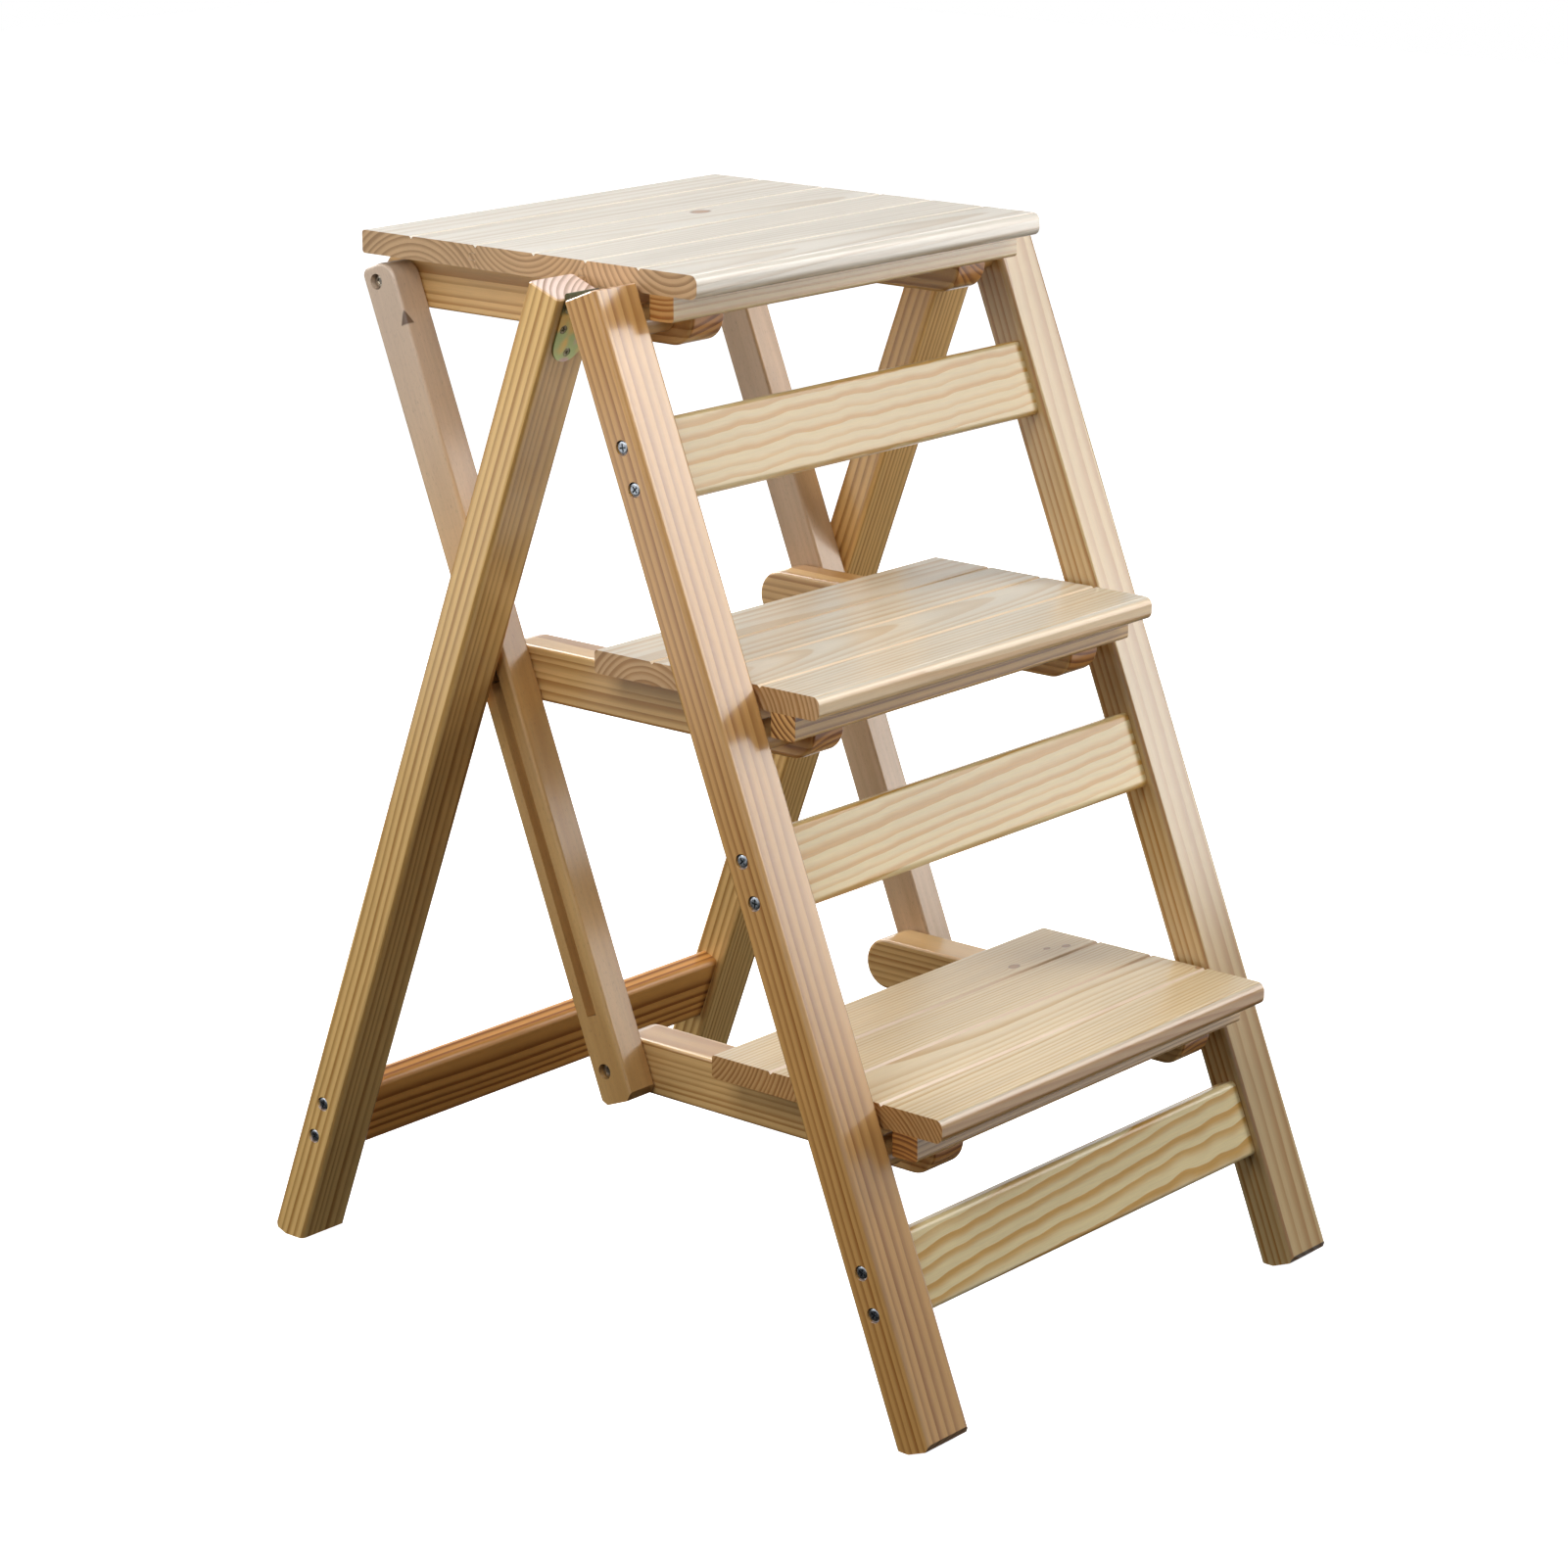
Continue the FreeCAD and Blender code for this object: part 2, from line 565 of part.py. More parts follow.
def board(label, level, front, back, groove, fixing, tongue=True, slot=True):
    body = new_body(label, step_frame(level))
    outline = polygon(new_sketch(body), board_outline(front, back, groove, tongue, slot))
    pad(body, outline, "panel_width", both_sides=True)
    if not slot:
        soften(body, "nose_rounding", edges_along(body, "x", [(front, BOARD_LOW), (front, BOARD_HIGH)]))
    if not tongue:
        soften(body, "board_rounding", edges_along(body, "x", [(back, BOARD_LOW), (back, BOARD_HIGH)]))
    middle = "(bearer_inner + bearer_thickness / 2)"
    pilots = circles(new_sketch(body, "XY_Plane", BOARD_LOW),
                     [(f"-{middle}", fixing), (middle, fixing)], "screw_radius")
    pocket(body, pilots, "board_screw_long + board_screw_sink - bearer_height")
    return keep(body)


def bearer_blank(level):
    """A bearer's outline: round at the rear pin, quarter-round under the nose, notched for the batten."""
    body = new_body(f"{level}_bearer_left", step_frame(level))
    outer = f"-{BEARER_OUTER}"
    low = f"-{HALF_BEARER}"
    notch_back = "(batten_depth - batten_front)"
    notch_low = f"({HALF_BEARER} - batten_height)"
    pad(body, polygon(new_sketch(body, offset=outer), [
        ("-bearer_nose", low), ("-bearer_nose", notch_low), (notch_back, notch_low),
        (notch_back, HALF_BEARER), ("pivot_to_pin", HALF_BEARER), ("pivot_to_pin", low)]),
        "bearer_thickness")
    rear_end = circles(new_sketch(body, offset=outer), [("pivot_to_pin", "0")], HALF_BEARER)
    pad(body, rear_end, "bearer_thickness")
    soften(body, HALF_BEARER, edges_along(body, "x", [("-bearer_nose", low)]))
    half = value(HALF_BEARER)
    long_edges = [name for name in edges_along(body, "y")
                  if abs(abs(body.Tip.Shape.getElement(name).Vertexes[0].Point.z) - half) < NEAR]
    soften(body, "bearer_rounding", long_edges)
    return body


def bearer(level, fixings):
    """The left bearer of a step, with bores for its two pins and for the screws under the boards."""
    body = bearer_blank(level)
    outer = f"-{BEARER_OUTER}"
    bores(body, outer, [("0", "0")], "pivot_radius + running_play", "bore_depth")
    bores(body, outer, [("pivot_to_pin", "0")], "bolt_radius + running_play", "bore_depth")
    middle = "(-bearer_inner - bearer_thickness / 2)"
    spots = [(middle, fixing) for fixing in fixings]
    under = f"-{HALF_BEARER}"
    pocket(body, circles(new_sketch(body, "XY_Plane", under), spots, "screw_head + head_play"),
           "board_screw_sink + screw_head_high")
    pocket(body, circles(new_sketch(body, "XY_Plane", under), spots, "screw_radius"), "2 * bearer_height")
    keep(body)
    keep(mirrored(body, f"{level}_bearer_right"))
    upright = at(axis="0; 1; 0", angle="-90")
    places = [f"{step_frame(level)} * " + at(x=f"{side}{middle}", y=fixing, z=f"{under} + board_screw_sink")
              + f" * {upright}" for side in ("", "-") for fixing in fixings]
    keep(group(f"{level}_step_screws", board_screw, places))


def batten(level):
    body = new_body(f"{level}_batten", step_frame(level))
    front = "-batten_front"
    low = f"({HALF_BEARER} - batten_height)"
    outline = rectangle(new_sketch(body), front, low, "batten_depth - batten_front", HALF_BEARER)
    pad(body, outline, "panel_width", both_sides=True)
    soften(body, "batten_rounding", edges_along(body, "x", [(front, low)]))
    return keep(body)


FRONT_EDGE = "-front_overhang"
FRONT_V = "(front_groove - front_overhang)"
MIDDLE_V = f"({FIRST_JOINT} + middle_groove)"
for level in LEVELS:
    board(f"{level}_board_front", level, FRONT_EDGE, FIRST_JOINT, FRONT_V, "front_fixing", slot=False)
    if level == "top":
        board("top_board_middle", level, FIRST_JOINT, SECOND_JOINT, MIDDLE_V, "middle_fixing")
        board("top_board_rear", level, SECOND_JOINT, f"({SECOND_JOINT} + rear_board)",
              f"({SECOND_JOINT} + rear_groove)", "rear_fixing", tongue=False)
        bearer(level, ("front_fixing", "middle_fixing", "rear_fixing"))
    else:
        board(f"{level}_board_rear", level, FIRST_JOINT, f"({FIRST_JOINT} + short_board)", MIDDLE_V,
              "middle_fixing", tongue=False)
        bearer(level, ("front_fixing", "middle_fixing"))
    batten(level)


# Link bars, drawn about the top rear pin with local Z up the bar

def link_bar():
    body = new_body("link_bar_left", LINK_FRAME)
    outer = f"-{LINK_OUTER}"
    low = "(-2 * step_spacing - link_tail)"
    outline = rectangle(new_sketch(body, offset=outer), "-link_front", low, "link_back", "link_head")
    pad(body, outline, "link_thickness")
    soften(body, "link_nose", edges_along(body, "x", [("-link_front", "link_head")]))
    soften(body, "link_heel", edges_along(body, "x", [("link_back", "link_head")]))
    soften(body, "link_bevel", edges_along(body, "x", [("-link_front", low), ("link_back", low)]), "Chamfer")
    soften(body, "link_rounding", edges_along(body, "z"))
    slot = rectangle(new_sketch(body, offset=outer), "-slot_line - slot_width / 2", "-slot_bottom",
                     "-slot_line + slot_width / 2", "-slot_top")
    pocket(body, slot, "slot_deep")
    pins = [("0", f"-{place} * step_spacing") for place in LEVELS.values()]
    seat = "bolt_head + bolt_head_play"
    bores(body, outer, [pins[0], pins[2]], seat, "bolt_sink")
    bores(body, outer, [pins[1]], seat, "slot_deep + bolt_head_high + bolt_below_slot")
    bores(body, outer, pins, "bolt_radius", "link_thickness + 1")
    keep(body)
    keep(mirrored(body, "link_bar_right"))


link_bar()

BOLT_REACH = "link_thickness + link_gap + bore_depth - end_play"
long_bolt = socket_bolt("long_bolt", f"({BOLT_REACH} - bolt_sink + bolt_head_high)")
short_bolt = socket_bolt("short_bolt", f"({BOLT_REACH} - slot_deep - bolt_below_slot)")
for level, bolt, sink in (("top", long_bolt, "bolt_sink - bolt_head_high"),
                          ("middle", short_bolt, "slot_deep + bolt_below_slot"),
                          ("bottom", long_bolt, "bolt_sink - bolt_head_high")):
    spot = ("0", f"-{LEVELS[level]} * step_spacing")
    keep(group(f"{level}_link_bolts", bolt, both_sides(LINK_FRAME, f"({LINK_OUTER} - ({sink}))", [spot])))


# Every object has to have worked before the pieces are written

doc.recompute()
failed = [thing.Label for thing in doc.Objects if {"Invalid", "Error"} & set(thing.State)]
if failed:
    raise ValueError("not built: " + ", ".join(failed))
os.makedirs("parts", exist_ok=True)
for label, thing in nodes.items():
    if thing.Shape.isNull() or not thing.Shape.isValid():
        raise ValueError(f"{label} has no sound shape")
    thing.Shape.exportStep(f"parts/{label}.step")
    print(f"{label}: {len(thing.Shape.Solids)} solid, {thing.Shape.Volume / 1000:.1f} cm3")
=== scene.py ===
import math

import bmesh
import bpy
from mathutils import Matrix, Vector


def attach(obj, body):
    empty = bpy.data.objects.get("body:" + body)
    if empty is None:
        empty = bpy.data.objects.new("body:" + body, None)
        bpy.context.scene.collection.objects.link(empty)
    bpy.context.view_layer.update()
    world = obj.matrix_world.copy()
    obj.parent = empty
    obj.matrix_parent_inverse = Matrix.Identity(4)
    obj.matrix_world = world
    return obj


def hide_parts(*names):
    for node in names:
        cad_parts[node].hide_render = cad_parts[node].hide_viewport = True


# The finish of a folding step stool: lacquered pine with its rings running through every piece,
# beech link bars, zinc plated screws and yellow passivated hinges. Metres, in the stool's own frame.

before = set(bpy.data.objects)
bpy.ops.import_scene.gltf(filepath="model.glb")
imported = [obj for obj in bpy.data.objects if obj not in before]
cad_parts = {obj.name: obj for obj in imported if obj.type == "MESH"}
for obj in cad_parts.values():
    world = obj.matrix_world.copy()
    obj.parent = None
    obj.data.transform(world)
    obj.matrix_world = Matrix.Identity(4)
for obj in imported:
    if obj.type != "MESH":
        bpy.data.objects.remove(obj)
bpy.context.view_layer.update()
scene = bpy.context.scene
MM = 0.001

# Slopes of the legs, in degrees from the floor
FRONT_LEAN = 68.5
REAR_LEAN = 69.6
FRONT_TURN = FRONT_LEAN - 90
REAR_TURN = 90 - REAR_LEAN
LEVELS = ("top", "middle", "bottom")


# Node trees

class Wire:
    """A number, vector or colour on its way through a node tree; operators on it add maths nodes."""

    def __init__(self, net, socket):
        self.net = net
        self.socket = socket

    def __add__(self, other):
        return self.net.maths("ADD", self, other)

    def __radd__(self, other):
        return self.net.maths("ADD", other, self)

    def __sub__(self, other):
        return self.net.maths("SUBTRACT", self, other)

    def __rsub__(self, other):
        return self.net.maths("SUBTRACT", other, self)

    def __mul__(self, other):
        return self.net.maths("MULTIPLY", self, other)

    def __rmul__(self, other):
        return self.net.maths("MULTIPLY", other, self)

    def __truediv__(self, other):
        return self.net.maths("DIVIDE", self, other)

    def __rtruediv__(self, other):
        return self.net.maths("DIVIDE", other, self)

    def __pow__(self, other):
        return self.net.maths("POWER", self, other)

    def __abs__(self):
        return self.net.maths("ABSOLUTE", self)

    def __gt__(self, other):
        return self.net.maths("GREATER_THAN", self, other)

    def __lt__(self, other):
        return self.net.maths("LESS_THAN", self, other)


class Net:
    """A node tree as it is drawn up, for shaders and for geometry alike."""

    def __init__(self, tree):
        self.tree = tree
        tree.nodes.clear()

    def add(self, kind, settings=None, sockets=None, out=0):
        """A node of that kind: settings first, then values or wires for its sockets."""
        node = self.tree.nodes.new(kind)
        for name, setting in (settings or {}).items():
            setattr(node, name, setting)
        for key, value in (sockets or {}).items():
            self.plug(node.inputs[key], value)
        return Wire(self, node.outputs[out]) if len(node.outputs) else node

    def plug(self, socket, value):
        if isinstance(value, Wire):
            self.tree.links.new(value.socket, socket)
        elif socket.type in ("VECTOR", "RGBA") and isinstance(value, (int, float)):
            socket.default_value = [value] * len(socket.default_value)
        elif socket.type == "RGBA" and len(value) == 3:
            socket.default_value = (*value, 1)
        else:
            socket.default_value = value

    def maths(self, operation, *terms):
        flat = all(isinstance(term, (int, float)) or isinstance(term, Wire) and term.socket.type == "VALUE"
                   for term in terms)
        kind = "ShaderNodeMath" if flat else "ShaderNodeVectorMath"
        return self.add(kind, {"operation": operation}, dict(enumerate(terms)))

    def vector(self, x, y, z):
        return self.add("ShaderNodeCombineXYZ", {}, {0: x, 1: y, 2: z})

    def parts(self, vector):
        node = self.add("ShaderNodeSeparateXYZ", {}, {0: vector}).socket.node
        return [Wire(self, output) for output in node.outputs]

    def length(self, *sides):
        """The hypotenuse of two or more sides."""
        total = sides[0] * sides[0]
        for side in sides[1:]:
            total = total + side * side
        return self.maths("SQRT", total)

    def smooth(self, value, start, end):
        """0 before start, 1 after end, and an S between; start may be the larger one."""
        return self.add("ShaderNodeMapRange", {"interpolation_type": "SMOOTHSTEP"},
                        {"Value": value, 1: start, 2: end, 3: 0.0, 4: 1.0})

    def mix(self, share, first, second, blend="MIX"):
        return self.add("ShaderNodeMix", {"data_type": "RGBA", "blend_type": blend, "clamp_factor": True},
                        {0: share, 6: first, 7: second}, out=2)

    def noise(self, vector, detail=1.0, colour=False):
        return self.add("ShaderNodeTexNoise", {}, {"Vector": vector, "Scale": 1.0, "Detail": detail},
                        out=1 if colour else 0)


def material(name):
    """A new material and its net."""
    made = bpy.data.materials.new(name)
    made.use_nodes = True
    return made, Net(made.node_tree)


def surface(net, colour, roughness, normal=None, metallic=0.0, coat=0.0, coat_roughness=0.1, coat_ior=1.5):
    """The one shader that every finish ends in."""
    sockets = {"Base Color": colour, "Roughness": roughness, "Metallic": metallic, "IOR": 1.5,
               "Coat Weight": coat, "Coat Roughness": coat_roughness, "Coat IOR": coat_ior}
    if normal is not None:
        sockets["Normal"] = normal
    shader = net.add("ShaderNodeBsdfPrincipled", {}, sockets)
    net.add("ShaderNodeOutputMaterial", {}, {"Surface": shader})


def bumps(net, height, depth, strength=1.0):
    return net.add("ShaderNodeBump", {}, {"Strength": strength, "Distance": depth, "Height": height})


# Timber

# Axes of a piece along the grain, across its width and through its thickness
UPRIGHT = "ZXY"
CROSSWISE = "XZY"
PLANK = "XYZ"
LENGTHWISE = "YXZ"

# How often each pattern changes in a metre of wood, along, across and through the grain
PITH_SWAY = (2.6, 8, 8)
RING_RIPPLE = (15, 60, 60)
RING_WAVE = (32, 12, 12)
PINE_CLOUDS = (6, 45, 45)
PINE_FIBRES = (40, 900, 900)
PINE_HAIRS = (110, 3200, 3200)
PINE_PORES = (300, 2600, 2600)
BEECH_CLOUDS = (5, 60, 60)
BEECH_STREAKS = (14, 420, 420)
BEECH_FLECKS = (260, 2600, 2600)
# How far apart in the noise two pieces take their patterns, for each step of the seed
SEED_STEP = (1.37, 0.71, 2.03)

# How far a pith strays from its line, and how often rings change their width in a metre
PITH_WANDER = 8 * MM
RING_CHANGES = 110
# The part of a ring where spring wood ends, where summer wood is darkest, and where it stops
SPRING_ENDS = 0.28
SUMMER_FULL = 0.88
SUMMER_STOPS = 0.93
# How square to the grain a surface is where end grain starts to show, and where it is all end grain
CUT_STARTS = 0.6
CUT_FULL = 0.85

KNOT_RIM = (0.20, 0.085, 0.032)
KNOT_DARK = (0.32, 0.14, 0.05)
KNOT_PALE = (0.50, 0.25, 0.10)
# A painted highlight for the V grooves between the boards
GROOVE_PAINTED_HIGHLIGHT = (0.90, 0.86, 0.78)
# Painted shade for the downward faces of a leg's foot
FOOT_PAINTED_SHADE = (0.045, 0.028, 0.018)
BAR_KNOT = (0.085, 0.035, 0.016)


def measure(name, turn):
    """The centre of a piece in the stool's frame, and its half sizes square to its own slope."""
    spin = Matrix.Rotation(math.radians(turn), 3, "X")
    own = [spin.transposed() @ vertex.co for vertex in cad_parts[name].data.vertices]
    low = Vector([min(point[axis] for point in own) for axis in range(3)])
    high = Vector([max(point[axis] for point in own) for axis in range(3)])
    return spin @ ((low + high) / 2), (high - low) / 2


def grain_space(net, centre, turn, axes):
    """Distances from the centre of the piece along, across and through its grain."""
    spot = net.add("ShaderNodeTexCoord", out="Object")
    own = net.add("ShaderNodeMapping", {"vector_type": "TEXTURE"},
                  {"Vector": spot, "Location": centre, "Rotation": (math.radians(turn), 0, 0)})
    by_axis = dict(zip("XYZ", net.parts(own)))
    return [by_axis[axis] for axis in axes]


def grain_noise(net, where, changes, seed, detail, colour=False):
    """Noise drawn out along the grain, from a place of its own for each seed."""
    shift = tuple(seed * step for step in SEED_STEP)
    return net.noise(where * changes + shift, detail, colour)


def end_grain(net, turn, axes):
    """1 where the surface is cut across the grain, and the three parts of the surface's normal."""
    normal = net.add("ShaderNodeTexCoord", out="Normal")
    grain = Matrix.Rotation(math.radians(turn), 3, "X").col["XYZ".index(axes[0])]
    facing = net.add("ShaderNodeVectorMath", {"operation": "DOT_PRODUCT"}, {0: normal, 1: grain}, out="Value")
    return net.smooth(abs(facing), CUT_STARTS, CUT_FULL), net.parts(normal)


def pith_distance(net, spot, where, seed, pith, drift, ripple, wave):
    """The distance to the pith, uneven as in a living tree; pith, ripple and wave in millimetres."""
    along, across, through = spot
    sway = net.parts(grain_noise(net, where, PITH_SWAY, seed, 1.0, colour=True) - 0.5)
    side = across - (pith[0] * MM + along * drift[0] + sway[0] * PITH_WANDER)
    depth = through - (pith[1] * MM + along * drift[1] + sway[1] * PITH_WANDER)
    radius = net.length(side, depth)
    radius = radius + (grain_noise(net, where, RING_RIPPLE, seed, 2.0) - 0.5) * (ripple * MM)
    if wave:
        radius = radius + (grain_noise(net, where, RING_WAVE, seed, 1.0) - 0.5) * (wave * MM)
    return radius


def summer_wood(net, radius, ring, seed):
    """How dark the summer wood of each ring is, with no two rings alike; ring in millimetres."""
    uneven = net.noise(net.vector(radius * RING_CHANGES + seed, 0.0, 0.0), 1.0) - 0.5
    count = radius / (ring * MM) + uneven * 1.3
    phase = net.maths("FRACT", count)
    luck = net.add("ShaderNodeTexWhiteNoise", {"noise_dimensions": "1D"},
                   {"W": net.maths("FLOOR", count) + seed})
    rise = net.smooth(phase, SPRING_ENDS, SUMMER_FULL)
    return rise * net.smooth(phase, 1.0, SUMMER_STOPS) * (0.5 + luck * 0.5)


def knot_field(net, along, across, knots):
    """How far the rings are pushed aside by knots, and the knots' own share and rim."""
    push, core, rim = 0.0, 0.0, 0.0
    for spot_along, spot_across, size in knots:
        off = net.length((along - spot_along * MM) / 1.5, across - spot_across * MM) / (size * MM)
        push = push + net.maths("EXPONENT", -0.35 * off * off) * (size * MM * 0.9)
        core = net.maths("MAXIMUM", net.smooth(off, 1.05, 0.85), core)
        rim = net.maths("MAXIMUM", net.smooth(off, 1.35, 1.0) * net.smooth(off, 0.7, 0.95), rim)
    return push, core, rim


def painted_board_light(net, colour, facing, edge_shade):
    """A painted highlight in the V grooves between the boards, and painted shade on the front edge."""
    groove_highlight = net.smooth(abs(facing[1]), 0.3, 0.5) * net.smooth(facing[2], 0.35, 0.6)
    colour = net.mix(groove_highlight * 0.75, colour, GROOVE_PAINTED_HIGHLIGHT)
    return net.mix(net.smooth(facing[1], -0.3, -0.9), colour, net.maths("MULTIPLY", colour, edge_shade))


def pine(name, turn, axes, pith, ring, seed, early, late, contrast=1.0, drift=(0.0, 0.0), ripple=0.9,
         wave=0.0, knots=(), coat=0.9, coat_ior=1.5, end_tone_and_sheen=(0.80, 0.56, 0.34), end_rings=1.9, edge=None,
         foot=False):
    """Lacquered pine: growth rings about a pith that drifts along the piece, with fibres and end grain.

    ends tints the end grain, and on the legs paints a highlight on it, and end_rings sets how strongly rings
    show there; edge paints shade on the front edge of a board and a highlight in its grooves, and a leg with
    a foot has painted shade on its faces that look down, where it stands on the floor."""
    made, net = material(name + "_pine")
    spot = grain_space(net, measure(name, turn)[0], turn, axes)
    where = net.vector(*spot)
    radius = pith_distance(net, spot, where, seed, pith, drift, ripple, wave)
    if knots:
        push, core, rim = knot_field(net, spot[0], spot[1], knots)
        radius = radius + push
    band = summer_wood(net, radius, ring, seed) * contrast
    tone = grain_noise(net, where, PINE_CLOUDS, seed, 2.0) - 0.5
    fibre = grain_noise(net, where, PINE_FIBRES, seed, 3.0) - 0.5
    hair = grain_noise(net, where, PINE_HAIRS, seed, 1.0) - 0.5
    pores = grain_noise(net, where, PINE_PORES, seed, 2.0) - 0.5
    cut, facing = end_grain(net, turn, axes)
    colour = net.mix(band * (1 + cut * (end_rings - 1)), early, late)
    value = 1 + tone * 0.26 + (fibre * 0.24 + hair * 0.14) * (1 - cut) + (pores - band) * 0.3 * cut
    colour = net.maths("MULTIPLY", colour, net.vector(value, value, value))
    if knots:
        colour = net.mix(rim * 0.75, colour, KNOT_RIM)
        colour = net.mix(core * 0.85, colour, net.mix(fibre + 0.5, KNOT_DARK, KNOT_PALE))
    # End grain takes its own tone; on the legs the factors pass 1 and paint a highlight on it
    colour = net.mix(cut, colour, net.maths("MULTIPLY", colour, end_tone_and_sheen))
    # Painted highlight in a board's grooves, painted shade on its front edge
    if edge:
        colour = painted_board_light(net, colour, facing, edge)
    if foot:
        # Painted shade on the faces that look down, at the foot of a leg
        colour = net.mix(net.smooth(facing[2], -0.25, -0.6) * 0.92, colour, FOOT_PAINTED_SHADE)
    height = fibre * 0.5 + hair * 0.3 + band * 0.4 + pores * cut
    surface(net, colour, 0.38 + fibre * 0.12 + cut * 0.15, bumps(net, height, 0.12 * MM, 0.6),
            coat=coat * (1 - cut * 0.3), coat_roughness=0.18, coat_ior=coat_ior)
    return made


def beech(name, turn, axes, seed, light, dark, high=None, mark=None):
    """Lacquered beech: plain, with fine flecks along the grain and a soft drift of tone.

    high is the tone that the upper half turns to, a painted sheen, and mark draws a knot of its own."""
    centre, half = measure(name, turn)
    made, net = material(name + "_beech")
    spot = grain_space(net, centre, turn, axes)
    where = net.vector(*spot)
    cloud = grain_noise(net, where, BEECH_CLOUDS, seed, 2.0)
    streak = grain_noise(net, where, BEECH_STREAKS, seed, 3.0) - 0.5
    fleck = net.smooth(grain_noise(net, where, BEECH_FLECKS, seed, 1.0), 0.62, 0.74)
    cut = end_grain(net, turn, axes)[0]
    colour = net.mix(net.smooth(cloud, 0.3, 0.7), light, dark)
    if high:
        # Painted sheen: the upper half turns paler and pinker
        colour = net.mix(net.smooth(spot[0], 0, half[2]) * 0.8, colour, high)
    value = 1 + streak * 0.26 - fleck * 0.28 - cut * 0.3
    colour = net.maths("MULTIPLY", colour, net.vector(value, value, value))
    if mark:
        colour = net.mix(mark(net, *spot, half), colour, BAR_KNOT)
    surface(net, colour, 0.42 + streak * 0.1, bumps(net, streak * 0.5 - fleck, 0.06 * MM, 0.5),
            coat=0.75, coat_roughness=0.2)
    return made


def corner_knot(net, along, across, through, half):
    """A small dark knot, pointed at the top, on the front outer edge of the left link bar."""
    top = half[2] - 31 * MM
    low = half[2] - 41 * MM
    from_edge = net.maths("MAXIMUM", across + half[0], through + half[1])
    below = top - along
    inside = net.smooth(from_edge - below * 0.6, 0.5 * MM, -0.5 * MM)
    return inside * net.smooth(below, 0.0, 0.8 * MM) * net.smooth(along, low, low + 1.2 * MM) * 0.85


# Tones of pine, first where it grew in spring and then in summer, and of beech
AMBER = dict(early=(0.72, 0.395, 0.125), late=(0.38, 0.140, 0.025))
HONEY = dict(early=(0.78, 0.495, 0.200), late=(0.49, 0.240, 0.068))
DARK_HONEY = dict(HONEY, late=(0.30, 0.120, 0.030))
OLIVE = dict(early=(0.95, 0.615, 0.230), late=(0.54, 0.270, 0.070))
UMBER = dict(early=(0.78, 0.370, 0.090), late=(0.36, 0.120, 0.018))
CREAM = dict(early=(0.75, 0.560, 0.290), late=(0.52, 0.260, 0.070))
GOLD = dict(early=(0.70, 0.530, 0.265), late=(0.56, 0.290, 0.050))
BRIGHT_GOLD = dict(early=(0.82, 0.630, 0.310), late=(0.64, 0.340, 0.060))
PALE_GOLD = dict(early=(0.94, 0.760, 0.400), late=(0.70, 0.380, 0.070))
SAND = dict(early=(0.62, 0.430, 0.195), late=(0.42, 0.200, 0.045))
# A near white pine for the top boards, a painted sheen; the boards' tones step lighter towards the top,
# partly painted light
SHEEN_WHITE = dict(early=(0.79, 0.730, 0.630), late=(0.65, 0.540, 0.410))
STRAW = dict(early=(0.83, 0.740, 0.580), late=(0.68, 0.490, 0.270))
WHEAT = dict(early=(0.78, 0.625, 0.385), late=(0.60, 0.375, 0.150))
GOLDEN_BEECH = dict(light=(0.66, 0.400, 0.150), dark=(0.54, 0.300, 0.100))
# A pale pink for a painted sheen on the upper half of a bar
SHEEN_PINK_BEECH = (0.70, 0.560, 0.450)
ROSE_BEECH = dict(light=(0.70, 0.490, 0.300), dark=(0.58, 0.385, 0.220))

# What pieces of one kind have in common
# On the legs, ends lifts the end grain far above the wood's tone: a painted highlight
FRONT_LEG = dict(turn=FRONT_TURN, axes=UPRIGHT, foot=True, coat=1.0, coat_ior=1.65,
                 end_tone_and_sheen=(1.25, 1.75, 4.60), end_rings=0.7)
REAR_LEG = dict(turn=REAR_TURN, axes=UPRIGHT, foot=True, contrast=1.25,
                end_tone_and_sheen=(1.00, 1.20, 2.80), end_rings=0.7, **OLIVE)
FRONT_RAIL = dict(turn=FRONT_TURN, axes=CROSSWISE, contrast=1.25, ripple=1.1, coat=0.5)
REAR_RAIL = dict(turn=REAR_TURN, axes=CROSSWISE, contrast=1.4, coat=0.5)
BOARD = dict(turn=0, axes=PLANK)
# edge paints shade on each step's front edge: barely any on the top step, deeper on the middle and bottom
# ones
TOP_BOARD = dict(BOARD, edge=(1.02, 0.99, 0.95), **SHEEN_WHITE)
MIDDLE_BOARD = dict(BOARD, edge=(1.10, 0.90, 0.66), **STRAW)
BOTTOM_BOARD = dict(BOARD, edge=(0.80, 0.58, 0.38), **WHEAT)
BEARER = dict(turn=0, axes=LENGTHWISE, contrast=1.2, **HONEY)

